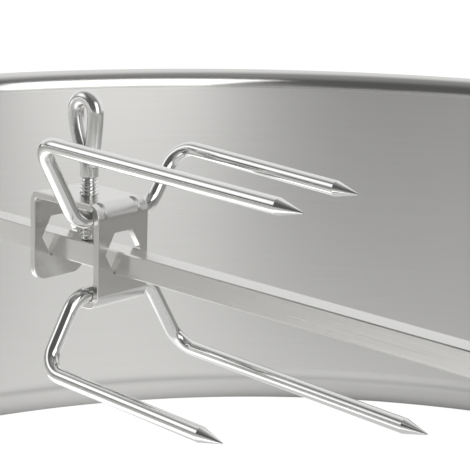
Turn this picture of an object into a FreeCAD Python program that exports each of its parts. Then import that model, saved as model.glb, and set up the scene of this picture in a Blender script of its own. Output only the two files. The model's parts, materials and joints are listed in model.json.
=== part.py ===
"""Rotisserie ring kit: stainless ring, square spit, two meat forks, handle and spit motor.

Millimetres. Origin on the ring's axis at its bottom edge, +Z up the ring's axis, +X along the spit
towards the handle. The motor hangs outside the ring's wall at -X, the handle stands out at +X.
"""
import FreeCAD, Part
import math
import os

V = FreeCAD.Vector
X_AXIS, Y_AXIS, Z_AXIS = V(1, 0, 0), V(0, 1, 0), V(0, 0, 1)
OUT = "parts"

# ring
RING_WALL_R = 280.6        # radius of the sheet's middle
RING_SHEET = 1.2
RING_HEIGHT = 156.0
SKIRT_HEIGHT = 7.2         # plain edge below the joggle
JOGGLE_LOW_R, JOGGLE_HIGH_R, JOGGLE_DEG = 6.5, 10.0, 30.0
RIM_ROLL_R = 6.4           # sheet's middle in the rolled rim
RIM_ROLL_DEG = 240.0
NOTCH_WIDTH = 17.0

# spit
SPIT = 8.0                 # square section
SPIT_Z = 124.1             # axis height over the ring's bottom edge
SPIT_EDGE = 0.4            # softened long edges
SPIT_TIP_X = -334.0
SPIT_TIP_LEN = 9.0
SPIT_TANG_X = 424.0
RUNNING = 0.08             # radial clearance of shafts

# journal and handle
JOURNAL_R = 7.0
JOURNAL_X = (250.0, 306.0)
JOURNAL_FLANGE_R = 11.0
JOURNAL_FLANGE = 4.0
FERRULE_X = (322.0, 338.0)
GRIP_X = (338.0, 438.0)
GRIP_R = 14.5
GRIP_THROAT_R = 11.2
PIN_X = 352.0              # cross pin through grip and spit
PIN_R, PIN_HOLE_R = 1.58, 1.6
SET_SCREW_X = 305.8
SET_SCREW_R = 2.0

# wall plates
PLATE = 2.5
CRADLE_HALF_W = 24.0
CRADLE_Z = (82.0, 143.0)
SADDLE_Z = (58.0, 112.0)
BOLT_R = 2.5
BOLT_HOLE_R = 2.6
BOLT_Y = 17.0
CRADLE_BOLT_Z = (90.0, 106.0)
SADDLE_BOLT_Z = (66.0, 100.0)
SCREW_HEAD_R, SCREW_HEAD = 4.6, 2.8
DRIVE_R = 1.6
NUT_FLATS, NUT_HEIGHT = 8.0, 4.0

# band joint
JOINT_DEG = -90.0
JOINT_HEIGHTS = (26.0, 60.0, 94.0, 128.0)
JOINT_SPREAD = 9.0         # half the distance between the two rows of rivets
JOINT_HALF_W, JOINT_TOP, JOINT_SHEET = 18.0, 138.0, 1.2
RIVET_R, RIVET_HOLE_R = 1.95, 2.0

# fork
FORK_SHEET = 2.5
FORK_HALF_W = 11.5
FORK_EDGE_R = 0.45         # softened edges along both sides
FORK_CORNER_R = 5.0
CRIMP_Y, CRIMP_R, CRIMP_DEPTH = 7.6, 1.1, 0.35
FORK_X = -116.4            # thumb screw axis
FORK_BACK, FORK_FRONT = -133.4, -99.4
FORK_TOP = 20.0            # over the spit's axis
FORK_FOOT = -12.2          # lower edge of the back flange
HEX_FLATS = 14.2
HEX_UP = 3.0               # centre of the hexagon over the spit's axis
WIRE_D = 5.2
WIRE_GAP = 0.1
WIRE_UP, WIRE_DOWN = 14.8, -10.8
ELBOW_Y = 16.8             # where the cross run would meet the legs
TINE_POINT, TIP_R = 9.0, 0.25
TINE_LONG_X, TINE_SHORT_X = 5.0, -25.0
ELBOW_R, TINE_BEND_R = 9.0, 8.0
# long and short tines: side and height of the leg's end over the spit's axis, fall per unit of length
UPPER_TINES = ((-33.2, 43.7, 0.024), (30.3, 34.6, 0.040))
LOWER_TINES = ((33.2, -37.6, 0.034), (-30.0, -33.2, 0.036))
FORK_B_SHIFT = 84.0        # how much further out the second fork sits

# thumb screw
THREAD_R, THREAD_ROOT_R, THREAD_PITCH = 3.1, 2.45, 1.27
THREAD_TOP = 25.4
SHANK_TOP = 33.0
EYE_ROD_R = 2.75
EYE_RIGHT, EYE_LEFT, EYE_HIGH = 2.7, -6.8, 47.7

# motor
CASE_X = (-299.0, -322.0, -352.0)   # inner face, joint, outer face
CASE_HALF_W = 42.0
CASE_Z = (84.0, 178.0)
CASE_WALL = 2.4
CASE_ROUND = 9.0
MODULE, GEAR_TEETH, PINION_TEETH = 1.0, 48, 16
GEAR_X, GEAR_W = -312.0, 6.0
WEB_HOLES, WEB_HOLE_R, WEB_CIRCLE_R = 6, 3.6, 15.6
BUSH_R = 11.0
FRAME_HALF_W, FRAME_Z, FRAME_SHEET = 27.0, (96.0, 173.0), 2.0
CORE_HALF_W, CORE_HALF_H, CORE_DEPTH = 24.0, 14.0, 18.95
COIL_R, COIL_Y = 9.0, 21.0
ROTOR_R, ROTOR_BORE_R, SHAFT_R = 7.6, 8.0, 2.5
POST_R, CASE_SCREW_R, CASE_HEAD_R = 4.5, 1.45, 3.2
CASE_SCREW_Y, CASE_SCREW_INSET = 33.0, 9.0
VENTS, VENT_Z, VENT_PITCH, VENT_HEIGHT, VENT_HALF_W = 6, 132.0, 6.0, 2.6, 20.0
SOCKET_R = 8.5
SOCKET_X = (-295.5, -340.0)
TONGUE_HALF_W = 24.0
TONGUE_TOP = 111.0
SWITCH_Z, SWITCH_HALF_Y, SWITCH_HALF_Z = 106.0, 7.5, 10.5
PIVOT_R = 1.5
GLAND_X, GLAND_Y, GLAND_R = -338.0, -20.0, 5.0
CORD_R = 3.2


# ---------------------------------------------------------------- helpers
def save(shape, node):
    """Write one node."""
    shape.exportStep(OUT + "/" + node + ".step")


def fuse(shapes):
    """One solid from touching or overlapping shapes."""
    joined = shapes[0].fuse(shapes[1:]).removeSplitter()
    return joined.Solids[0] if len(joined.Solids) == 1 else joined


def rod(radius, start, end):
    """Round bar between two points."""
    start, end = V(*start), V(*end)
    return Part.makeCylinder(radius, (end - start).Length, start, end - start)


def block(low, high):
    """Box from its lowest to its highest corner."""
    low, high = V(*low), V(*high)
    size = high - low
    return Part.makeBox(size.x, size.y, size.z, low)


def prism(points, along):
    """Flat outline pushed along a vector."""
    wire = Part.makePolygon([V(*p) for p in points] + [V(*points[0])])
    return Part.Face(wire).extrude(V(*along))


def turned(points, axis_point, axis):
    """Outline turned about an axis."""
    wire = Part.makePolygon([V(*p) for p in points] + [V(*points[0])])
    return Part.Face(wire).revolve(V(*axis_point), axis, 360)


def turned_x(profile):
    """Solid of revolution about the spit's axis from (x, radius) points."""
    points = [(x, 0, SPIT_Z + r) for x, r in profile]
    return turned(points, (0, 0, SPIT_Z), X_AXIS)


def polar(angle, radius):
    return V(math.cos(angle) * radius, 0, math.sin(angle) * radius)


def sheet_profile(start, heading, steps, thickness):
    """Face of a bent sheet in the XZ plane.

    The sheet's middle starts at (x, z) with a heading in degrees. Each step is ("line", length) or
    ("bend", radius, degrees), a positive bend turning left.
    """
    half = thickness / 2
    at = V(start[0], 0, start[1])
    angle = math.radians(heading)
    left, right = [], []
    for step in steps:
        normal = polar(angle + math.pi / 2, half)
        if step[0] == "line":
            end = at + polar(angle, step[1])
            left.append(Part.LineSegment(at + normal, end + normal).toShape())
            right.append(Part.LineSegment(at - normal, end - normal).toShape())
        else:
            radius, turn = step[1], math.radians(step[2])
            side = math.copysign(1, turn)
            centre = at + polar(angle + side * math.pi / 2, radius)

            def on_arc(part, out):
                spoke = angle - side * math.pi / 2 + part * turn
                return centre + polar(spoke, radius + out)

            for edges, out in ((left, -side * half), (right, side * half)):
                arc = Part.Arc(on_arc(0, out), on_arc(0.5, out), on_arc(1, out))
                edges.append(arc.toShape())
            end = on_arc(1, 0)
            angle += turn
        at = end
    caps = [Part.LineSegment(left[k].Vertexes[e].Point, right[k].Vertexes[e].Point).toShape()
            for k, e in ((0, 0), (-1, -1))]
    edges = left + right + caps
    return Part.Face(Part.Wire(Part.__sortEdges__(edges)))


def bent_path(points, radii):
    """Straight runs through points, each inner corner rounded by its radius."""
    points = [V(*p) for p in points]
    edges = []
    at = points[0]
    for i, radius in enumerate(radii, start=1):
        corner = points[i]
        into = (corner - points[i - 1]).normalize()
        out = (points[i + 1] - corner).normalize()
        half_turn = into.getAngle(out) / 2
        trim = radius * math.tan(half_turn)
        begin, end = corner - into * trim, corner + out * trim
        inward = (out - into).normalize()
        middle = corner + inward * (radius / math.cos(half_turn) - radius)
        edges.append(Part.LineSegment(at, begin).toShape())
        edges.append(Part.Arc(begin, middle, end).toShape())
        at = end
    edges.append(Part.LineSegment(at, points[-1]).toShape())
    return Part.Wire(edges)


def swept_round(path, radius):
    """Round bar along a path."""
    first = path.Edges[0]
    start = first.valueAt(first.FirstParameter)
    heading = first.tangentAt(first.FirstParameter)
    ring = Part.Wire(Part.Circle(start, heading, radius).toShape())
    return Part.Solid(path.makePipeShell([ring], True, True))


def hexagon_x(flats, x_from, x_to, centre_z):
    """Hexagonal bar along X with level flats above and below."""
    corner = flats / math.sqrt(3)
    points = []
    for k in range(6):
        angle = math.radians(60 * k)
        points.append((x_from, corner * math.cos(angle), centre_z + corner * math.sin(angle)))
    return prism(points, (x_to - x_from, 0, 0))


# ---------------------------------------------------------------- ring
def wall_bolts(side, heights):
    """Centres (y, z) and outward directions of the bolts through the wall on one side."""
    places = []
    for z in heights:
        for y in (-BOLT_Y, BOLT_Y):
            angle = math.asin(y / RING_WALL_R)
            outward = V(side * math.cos(angle), math.sin(angle), 0)
            places.append((outward, z))
    return places


CRADLE_BOLTS = wall_bolts(1, CRADLE_BOLT_Z)
SADDLE_BOLTS = wall_bolts(-1, SADDLE_BOLT_Z)


def joint_rivets():
    """Outward directions and heights of the rivets that close the band."""
    places = []
    for z in JOINT_HEIGHTS:
        for side in (-1, 1):
            angle = math.radians(JOINT_DEG) + side * JOINT_SPREAD / RING_WALL_R
            places.append((V(math.cos(angle), math.sin(angle), 0), z))
    return places


def radial_rod(outward, z, radius, r_from, r_to):
    """Round bar along a radius of the ring."""
    start = outward * r_from + V(0, 0, z)
    end = outward * r_to + V(0, 0, z)
    return Part.makeCylinder(radius, (end - start).Length, start, end - start)


def joggle_size():
    """How far the skirt stands outside the wall, and the height over which it does."""
    radii = JOGGLE_LOW_R + JOGGLE_HIGH_R
    angle = math.radians(JOGGLE_DEG)
    return radii * (1 - math.cos(angle)), radii * math.sin(angle)


def ring_shell():
    """Band with a joggled skirt at its foot and an outward rolled rim."""
    offset, joggle = joggle_size()
    roll_height = RIM_ROLL_R + RING_SHEET / 2
    steps = [("line", SKIRT_HEIGHT),
             ("bend", JOGGLE_LOW_R, JOGGLE_DEG),
             ("bend", JOGGLE_HIGH_R, -JOGGLE_DEG),
             ("line", RING_HEIGHT - SKIRT_HEIGHT - joggle - roll_height),
             ("bend", RIM_ROLL_R, -RIM_ROLL_DEG)]
    face = sheet_profile((RING_WALL_R + offset, 0), 90, steps, RING_SHEET)
    band = face.revolve(V(0, 0, 0), Z_AXIS, 360)
    half = NOTCH_WIDTH / 2
    for side in (-1, 1):
        near, far = sorted((side * (RING_WALL_R - 12), side * (RING_WALL_R + 20)))
        band = band.cut(rod(half, (near, 0, SPIT_Z), (far, 0, SPIT_Z)))
        band = band.cut(block((near, -half, SPIT_Z), (far, half, RING_HEIGHT + 5)))
    for outward, z in CRADLE_BOLTS + SADDLE_BOLTS:
        band = band.cut(radial_rod(outward, z, BOLT_HOLE_R, RING_WALL_R - 4, RING_WALL_R + 4))
    for outward, z in joint_rivets():
        band = band.cut(radial_rod(outward, z, RIVET_HOLE_R, RING_WALL_R - 4, RING_WALL_R + 4))
    return band


def wall_strip(side_angle, half_width, z_range, thickness):
    """Plate curved to lie on the outside of the band."""
    inner = RING_WALL_R + RING_SHEET / 2
    sweep = 2 * math.degrees(math.asin(half_width / inner))
    base = V(0, 0, z_range[0])
    height = z_range[1] - z_range[0]
    tube = Part.makeCylinder(inner + thickness, height, base, Z_AXIS, sweep)
    tube = tube.cut(Part.makeCylinder(inner, height, base, Z_AXIS))
    tube.rotate(V(0, 0, 0), Z_AXIS, side_angle - sweep / 2)
    return tube


def ring_joint_plate():
    """Strip over the band's joint."""
    wall_foot = SKIRT_HEIGHT + joggle_size()[1]
    plate = wall_strip(JOINT_DEG, JOINT_HALF_W, (wall_foot + 3, JOINT_TOP), JOINT_SHEET)
    for outward, z in joint_rivets():
        plate = plate.cut(radial_rod(outward, z, RIVET_HOLE_R, RING_WALL_R - 4, RING_WALL_R + 6))
    return plate


def rivet(outward, z, reach):
    """Rivet with a domed head outside and an upset head inside."""
    inside, outside = RING_WALL_R - RING_SHEET / 2, RING_WALL_R + reach
    shank = radial_rod(outward, z, RIVET_R, inside - 1.0, outside + 1.2)
    upset = radial_rod(outward, z, 3.4, inside - 1.0, inside - 0.08)
    centre = outward * (outside - 1.6) + V(0, 0, z)
    dome = Part.makeSphere(4.6, centre)
    dome = dome.common(radial_rod(outward, z, 5.0, outside + 0.06, outside + 4))
    return fuse([shank, upset, dome])


def ring_joint_rivets():
    return Part.makeCompound([rivet(o, z, RING_SHEET / 2 + JOINT_SHEET) for o, z in joint_rivets()])


def handle_cradle():
    """Curved plate whose open notch carries the spit's journal."""
    plate = wall_strip(0, CRADLE_HALF_W, CRADLE_Z, PLATE)
    near, far = RING_WALL_R - 5, RING_WALL_R + 12
    radius = JOURNAL_R + RUNNING
    plate = plate.cut(rod(radius, (near, 0, SPIT_Z), (far, 0, SPIT_Z)))
    mouth = [(near, -radius, SPIT_Z), (near, radius, SPIT_Z), (near, radius, CRADLE_Z[1] - 6),
             (near, radius + 6, CRADLE_Z[1] + 1), (near, -radius - 6, CRADLE_Z[1] + 1),
             (near, -radius, CRADLE_Z[1] - 6)]
    plate = plate.cut(prism(mouth, (far - near, 0, 0)))
    for outward, z in CRADLE_BOLTS:
        plate = plate.cut(radial_rod(outward, z, BOLT_HOLE_R, RING_WALL_R - 4, RING_WALL_R + 8))
    return plate


def motor_bracket():
    """Curved saddle on the wall, two arms and an upright tongue that the motor drops over."""
    saddle = wall_strip(180, TONGUE_HALF_W, SADDLE_Z, PLATE)
    tongue_x = (CASE_X[0] + 0.6, CASE_X[0] + 0.6 + PLATE)
    tongue = block((tongue_x[0], -TONGUE_HALF_W, SADDLE_Z[0]), (tongue_x[1], TONGUE_HALF_W, TONGUE_TOP))
    parts = [saddle, tongue]
    for side in (-1, 1):
        low, high = sorted((side * 7.0, side * (7.0 + PLATE)))
        parts.append(block((tongue_x[1] - 0.5, low, SADDLE_Z[0] + 4),
                           (-RING_WALL_R - RING_SHEET / 2 - 1.0, high, TONGUE_TOP - 4)))
    bracket = fuse(parts)
    for outward, z in SADDLE_BOLTS:
        bracket = bracket.cut(radial_rod(outward, z, BOLT_HOLE_R, RING_WALL_R - 4, RING_WALL_R + 5))
        bracket = bracket.cut(radial_rod(outward, z, 5.5, RING_WALL_R + 9, RING_WALL_R + 30))
    return bracket


def wall_screw(outward, z, outside):
    """Pan-head screw put in from inside the ring."""
    inside = RING_WALL_R - RING_SHEET / 2
    shank = radial_rod(outward, z, BOLT_R, inside - 1.5, outside + 5.2)
    head = radial_rod(outward, z, SCREW_HEAD_R, inside - 0.1 - SCREW_HEAD, inside - 0.1)
    rim = head.Edges[0]
    for edge in head.Edges:
        if edge.CenterOfMass.dot(outward) < rim.CenterOfMass.dot(outward):
            rim = edge
    head = head.makeFillet(1.2, [rim])
    drive = radial_rod(outward, z, DRIVE_R, inside - 3.5, inside - 1.4)
    return fuse([shank, head]).cut(drive)


def wall_nut(outward, z, outside):
    """Hexagon nut on the outside."""
    nut = hexagon_x(NUT_FLATS, 0, NUT_HEIGHT, 0)
    nut = nut.cut(rod(BOLT_R + 0.05, (-1, 0, 0), (NUT_HEIGHT + 1, 0, 0)))
    chamfer = Part.makeCone(NUT_FLATS / 2 + 2.6, NUT_FLATS / 2, NUT_HEIGHT + 0.4, V(0, 0, 0), X_AXIS)
    nut = nut.common(chamfer)
    nut.rotate(V(0, 0, 0), Z_AXIS, math.degrees(math.atan2(outward.y, outward.x)))
    nut.translate(outward * (outside + 0.1) + V(0, 0, z))
    return nut


def fastener_group(maker, places):
    outside = RING_WALL_R + RING_SHEET / 2 + PLATE
    return Part.makeCompound([maker(outward, z, outside) for outward, z in places])


# ---------------------------------------------------------------- spit and handle
def square_bar(side, x_from, x_to):
    half = side / 2
    return block((x_from, -half, SPIT_Z - half), (x_to, half, SPIT_Z + half))


def spit_rod():
    """Square bar, ground to a point at the motor end and drilled for the handle's pin."""
    bar = square_bar(SPIT, SPIT_TIP_X + SPIT_TIP_LEN, SPIT_TANG_X)
    long_edges = [e for e in bar.Edges if e.Length > 50]
    bar = bar.makeChamfer(SPIT_EDGE, long_edges)
    half, end = SPIT / 2 - SPIT_EDGE, 1.0
    corners = ((-1, -1), (1, -1), (1, 1), (-1, 1))
    root = [(SPIT_TIP_X + SPIT_TIP_LEN, y * half, SPIT_Z + z * half) for y, z in corners]
    tip = [(SPIT_TIP_X, y * end, SPIT_Z + z * end) for y, z in corners]
    wires = [Part.makePolygon([V(*p) for p in ring] + [V(*ring[0])]) for ring in (root, tip)]
    point = Part.makeLoft(wires, True, True)
    bar = fuse([bar, point])
    return bar.cut(rod(PIN_HOLE_R, (PIN_X, 0, SPIT_Z - 20), (PIN_X, 0, SPIT_Z + 20)))


def spit_journal():
    """Round sleeve that turns in the cradle, with a stop flange outside it."""
    x0, x1 = JOURNAL_X
    profile = [(x0, 0), (x0, JOURNAL_R - 1.2), (x0 + 1.2, JOURNAL_R), (x1 - JOURNAL_FLANGE, JOURNAL_R),
               (x1 - JOURNAL_FLANGE, JOURNAL_FLANGE_R - 0.6), (x1 - JOURNAL_FLANGE + 0.6, JOURNAL_FLANGE_R),
               (x1 + 3.0, JOURNAL_FLANGE_R), (x1 + 3.6, JOURNAL_FLANGE_R - 0.6), (x1 + 3.6, 0)]
    sleeve = turned_x(profile)
    sleeve = sleeve.cut(square_bar(SPIT + 0.04, x0 - 1, x1 + 5))
    return sleeve.cut(rod(SET_SCREW_R + 0.05, (SET_SCREW_X, 0, SPIT_Z), (SET_SCREW_X, 0, SPIT_Z + 20)))


def journal_screw():
    """Socket set screw that holds the journal on the spit."""
    x = SET_SCREW_X
    body = rod(SET_SCREW_R, (x, 0, SPIT_Z + SPIT / 2 + 0.02), (x, 0, SPIT_Z + JOURNAL_FLANGE_R - 0.3))
    return body.cut(rod(1.1, (x, 0, SPIT_Z + JOURNAL_FLANGE_R - 2.6), (x, 0, SPIT_Z + JOURNAL_FLANGE_R + 1)))


def handle_ferrule():
    x0, x1 = FERRULE_X
    profile = [(x0, 0), (x0, 7.5), (x0 + 0.8, 8.3), (x0 + 4.5, 8.8), (x0 + 5.2, 9.6), (x1 - 2.5, 10.6),
               (x1 - 1.0, GRIP_THROAT_R), (x1, GRIP_THROAT_R), (x1, 0)]
    return turned_x(profile).cut(square_bar(SPIT + 0.04, x0 - 1, x1 + 1))


def handle_grip():
    """Turned grip, waisted behind the ferrule and swelling to the palm."""
    x0, x1 = GRIP_X
    length = x1 - x0
    outline = [V(x0, 0, SPIT_Z), V(x0, 0, SPIT_Z + GRIP_THROAT_R)]
    waists = ((0, GRIP_THROAT_R), (0.18, 10.9), (0.55, GRIP_R), (0.85, 13.6), (1.0, 11.6))
    swell = [V(x0 + length * part, 0, SPIT_Z + r) for part, r in waists]
    curve = Part.BSplineCurve()
    curve.interpolate(swell)
    edges = [Part.LineSegment(outline[0], outline[1]).toShape(), curve.toShape(),
             Part.LineSegment(swell[-1], V(x1, 0, SPIT_Z)).toShape(),
             Part.LineSegment(V(x1, 0, SPIT_Z), outline[0]).toShape()]
    grip = Part.Face(Part.Wire(edges)).revolve(V(0, 0, SPIT_Z), X_AXIS, 360)
    grip = grip.cut(square_bar(SPIT + 0.04, x0 - 1, SPIT_TANG_X + 1))
    return grip.cut(rod(PIN_HOLE_R, (PIN_X, 0, SPIT_Z - 20), (PIN_X, 0, SPIT_Z + 20)))


def handle_pin():
    return rod(PIN_R, (PIN_X, 0, SPIT_Z - 10.4), (PIN_X, 0, SPIT_Z + 10.4))


def handle_cap():
    x1 = GRIP_X[1]
    profile = [(x1, 0), (x1, 11.4), (x1 + 1.6, 11.4), (x1 + 4.5, 9.6), (x1 + 6.2, 6.0), (x1 + 6.8, 0)]
    return turned_x(profile)


# ---------------------------------------------------------------- meat fork
def fork_bracket():
    """One folded sheet: back flange, top plate, front flange and a short foot under the lower wire."""
    half = FORK_SHEET / 2
    back_bend = 2.6
    wire_bend = WIRE_D / 2 + WIRE_GAP + half
    back_x = FORK_BACK + half
    wire_x = FORK_FRONT - half - wire_bend
    top_z = SPIT_Z + FORK_TOP - half
    start = (back_x, SPIT_Z + FORK_FOOT)
    steps = [("line", top_z - back_bend - start[1]),
             ("bend", back_bend, -90),
             ("line", wire_x - back_x - back_bend),
             ("bend", wire_bend, -90),
             ("line", top_z - wire_bend - (SPIT_Z + WIRE_DOWN)),
             ("bend", wire_bend, -90),
             ("line", 3.7)]
    face = sheet_profile(start, 90, steps, FORK_SHEET)
    face.translate(V(0, -FORK_HALF_W, 0))
    bracket = face.extrude(V(0, 2 * FORK_HALF_W, 0))
    corner = FORK_CORNER_R
    for side in (-1, 1):
        y, z = side * FORK_HALF_W, SPIT_Z + FORK_FOOT
        waste = block((FORK_BACK - 1, min(y, y - side * corner), z),
                      (FORK_BACK + FORK_SHEET + 1, max(y, y - side * corner), z + corner))
        waste = waste.cut(rod(corner, (FORK_BACK - 2, y - side * corner, z + corner),
                              (FORK_BACK + FORK_SHEET + 2, y - side * corner, z + corner)))
        bracket = bracket.cut(waste)
    bracket = bracket.cut(hexagon_x(HEX_FLATS, FORK_BACK - 5, FORK_FRONT + 5, SPIT_Z + HEX_UP))
    bracket = bracket.cut(rod(THREAD_R + 0.1, (FORK_X, 0, SPIT_Z + 12), (FORK_X, 0, SPIT_Z + 30)))
    bend_z = top_z - wire_bend
    crimp_bend = 0.6 * wire_bend
    out = (wire_bend + half + CRIMP_R - CRIMP_DEPTH - crimp_bend) / math.sqrt(2)
    for y in (-CRIMP_Y, CRIMP_Y):
        bracket = bracket.cut(Part.makeTorus(crimp_bend, CRIMP_R, V(wire_x + out, y, bend_z + out), Y_AXIS)
                              .common(block((wire_x, y - 1, bend_z), (wire_x + 9, y + 1, bend_z + 9))))

    def beside(point):
        return abs(abs(point.y) - FORK_HALF_W) < 0.01

    outline = [e for e in bracket.Edges if beside(e.CenterOfMass)]
    return bracket.makeFillet(FORK_EDGE_R, [e for e in outline if all(beside(v.Point) for v in e.Vertexes)])


def fork_wire(lift, tines):
    """One bent wire: tine, leg, cross run, leg, tine, with ground points."""
    wire_x = FORK_FRONT - FORK_SHEET - WIRE_D / 2 - WIRE_GAP
    z0 = SPIT_Z + lift
    (y_long, z_long, fall_long), (y_short, z_short, fall_short) = tines

    def root(x_end, y, z, fall):
        """Where a tine's ground point begins."""
        x = x_end - TINE_POINT
        return x, y, SPIT_Z + z - fall * (x - wire_x)

    points = [root(TINE_LONG_X, y_long, z_long, fall_long),
              (wire_x, y_long, SPIT_Z + z_long),
              (wire_x, math.copysign(ELBOW_Y, y_long), z0),
              (wire_x, math.copysign(ELBOW_Y, y_short), z0),
              (wire_x, y_short, SPIT_Z + z_short),
              root(TINE_SHORT_X, y_short, z_short, fall_short)]
    path = bent_path(points, (TINE_BEND_R, ELBOW_R, ELBOW_R, TINE_BEND_R))
    wire = swept_round(path, WIRE_D / 2)
    ends = [(V(*points[0]), V(1, 0, -fall_long)), (V(*points[-1]), V(1, 0, -fall_short))]
    return fuse([wire] + [Part.makeCone(WIRE_D / 2, TIP_R, TINE_POINT, end, ahead) for end, ahead in ends])


def thumb_screw():
    """Threaded rod whose upper end is bent round into a closed eye."""
    tip = SPIT_Z + SPIT / 2 + 0.1
    top = SPIT_Z + THREAD_TOP
    turns = int((top - tip - 1.4) / THREAD_PITCH)
    first = top - 0.4 - turns * THREAD_PITCH
    profile = [(FORK_X, 0, tip),
               (FORK_X + THREAD_ROOT_R - 0.7, 0, tip),
               (FORK_X + THREAD_ROOT_R, 0, tip + 0.7)]
    for k in range(turns):
        z = first + k * THREAD_PITCH
        profile.append((FORK_X + THREAD_ROOT_R, 0, z))
        profile.append((FORK_X + THREAD_R, 0, z + THREAD_PITCH * 0.42))
        profile.append((FORK_X + THREAD_R, 0, z + THREAD_PITCH * 0.54))
    profile += [(FORK_X + THREAD_ROOT_R, 0, top - 0.1), (FORK_X + THREAD_R, 0, top + 0.4),
                (FORK_X + THREAD_R, 0, SPIT_Z + SHANK_TOP - 1.5), (FORK_X + 1.6, 0, SPIT_Z + SHANK_TOP),
                (FORK_X, 0, SPIT_Z + SHANK_TOP)]
    stem = turned(profile, (FORK_X, 0, 0), Z_AXIS)

    def at(u, z):
        return V(FORK_X + u, 0, SPIT_Z + z)

    def side_arc(u_low, u_side):
        """Arc from inside the stem to the eye's widest place, upright where it ends."""
        rise, run = EYE_HIGH - low, u_side - u_low
        radius = (run * run + rise * rise) / (2 * abs(run))
        reach = math.copysign(radius, run)
        angle = math.asin(rise / radius) / 2
        middle_u = u_side - reach + reach * math.cos(angle)
        return at(u_low, low), at(middle_u, EYE_HIGH - radius * math.sin(angle)), at(u_side, EYE_HIGH)

    low = THREAD_TOP + 4.0
    right = side_arc(0.2, EYE_RIGHT)
    left = side_arc(-0.2, EYE_LEFT)
    crown_r = (EYE_RIGHT - EYE_LEFT) / 2
    crown = at((EYE_RIGHT + EYE_LEFT) / 2, EYE_HIGH + crown_r)
    near_strand = Part.Wire([Part.Arc(*right).toShape(), Part.Arc(right[2], crown, left[2]).toShape()])
    far_strand = Part.Wire([Part.Arc(*left).toShape()])
    return fuse([stem, swept_round(near_strand, EYE_ROD_R), swept_round(far_strand, EYE_ROD_R)])


def to_fork_b(shape):
    """The second fork faces the first from the handle end."""
    turned_round = shape.copy()
    turned_round.rotate(V(0, 0, 0), Z_AXIS, 180)
    turned_round.translate(V(FORK_B_SHIFT, 0, 0))
    return turned_round


# ---------------------------------------------------------------- motor
def rounded_box(x_range, half_w, z_range, radius):
    """Block along X with rounded long edges."""
    low, high = sorted(x_range)
    body = block((low, -half_w, z_range[0]), (high, half_w, z_range[1]))
    return body.makeFillet(radius, [e for e in body.Edges if abs(e.tangentAt(e.FirstParameter).x) > 0.9])


CASE_SCREWS = [(y, z) for y in (-CASE_SCREW_Y, CASE_SCREW_Y)
               for z in (CASE_Z[0] + CASE_SCREW_INSET, CASE_Z[1] - CASE_SCREW_INSET)]


def case_half(x_range, wall_at):
    """Hollow half of the case; wall_at is the x of its closed face."""
    outer = rounded_box(x_range, CASE_HALF_W, CASE_Z, CASE_ROUND)
    open_x = x_range[0] if wall_at == x_range[1] else x_range[1]
    inner_x = wall_at + math.copysign(CASE_WALL, open_x - wall_at)
    past = open_x + math.copysign(5, open_x - wall_at)
    inner = rounded_box((inner_x, past), CASE_HALF_W - CASE_WALL,
                        (CASE_Z[0] + CASE_WALL, CASE_Z[1] - CASE_WALL), CASE_ROUND - CASE_WALL)
    half = outer.cut(inner)
    post_x = inner_x - math.copysign(0.5, open_x - wall_at)
    posts = [rod(POST_R, (post_x, y, z), (open_x, y, z)) for y, z in CASE_SCREWS]
    return fuse([half] + posts)


def motor_case_base():
    """Inner case half with the rails that drop over the bracket's tongue."""
    inner, joint = CASE_X[0], CASE_X[1]
    half = case_half((joint, inner), inner)
    edge = TONGUE_HALF_W + 0.4
    rails = []
    lip_x = (inner + 0.6 + PLATE + 0.4, inner + 0.6 + PLATE + 2.0)
    for side in (-1, 1):
        low, high = sorted((side * edge, side * (edge + 3.0)))
        rails.append(block((inner - 0.5, low, CASE_Z[0]), (lip_x[1], high, TONGUE_TOP + 3.2)))
        low, high = sorted((side * (edge - 6.0), side * (edge + 3.0)))
        rails.append(block((lip_x[0], low, CASE_Z[0]), (lip_x[1], high, TONGUE_TOP + 3.2)))
    rails.append(block((inner - 0.5, -edge - 3, TONGUE_TOP + 0.3), (inner + 3.0, edge + 3, TONGUE_TOP + 3.2)))
    half = fuse([half] + rails)
    half = half.cut(rod(BUSH_R, (inner + 8, 0, SPIT_Z), (inner - 8, 0, SPIT_Z)))
    for y, z in CASE_SCREWS:
        half = half.cut(rod(CASE_SCREW_R + 0.05, (joint - 1, y, z), (joint + 16, y, z)))
    return half


def motor_case_cover():
    """Outer case half with vent slots, switch opening and cord entry."""
    joint, outer = CASE_X[1] - 0.05, CASE_X[2]
    half = case_half((outer, joint), outer)
    for k in range(VENTS):
        z = VENT_Z + VENT_PITCH * k
        slot = block((outer - 1, -VENT_HALF_W, z), (outer + CASE_WALL + 1, VENT_HALF_W, z + VENT_HEIGHT))
        half = half.cut(slot)
    half = half.cut(block((outer - 1, -SWITCH_HALF_Y, SWITCH_Z - SWITCH_HALF_Z),
                          (outer + CASE_WALL + 1, SWITCH_HALF_Y, SWITCH_Z + SWITCH_HALF_Z)))
    floor = CASE_Z[0]
    half = half.cut(rod(GLAND_R, (GLAND_X, GLAND_Y, floor - 1), (GLAND_X, GLAND_Y, floor + CASE_WALL + 1)))
    for y, z in CASE_SCREWS:
        half = half.cut(rod(CASE_SCREW_R + 0.35, (outer - 1, y, z), (joint + 1, y, z)))
        half = half.cut(rod(CASE_HEAD_R + 0.2, (outer - 1, y, z), (outer + 3.2, y, z)))
    return half


def motor_case_screws():
    screws = []
    for y, z in CASE_SCREWS:
        outer = CASE_X[2]
        head = rod(CASE_HEAD_R, (outer + 0.6, y, z), (outer + 3.1, y, z))
        cross = fuse([block((outer, y - 2, z - 0.4), (outer + 1.8, y + 2, z + 0.4)),
                      block((outer, y - 0.4, z - 2), (outer + 1.8, y + 0.4, z + 2))])
        shank = rod(CASE_SCREW_R, (outer + 3.0, y, z), (CASE_X[1] + 14, y, z))
        screws.append(fuse([head, shank]).cut(cross))
    return Part.makeCompound(screws)


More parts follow.
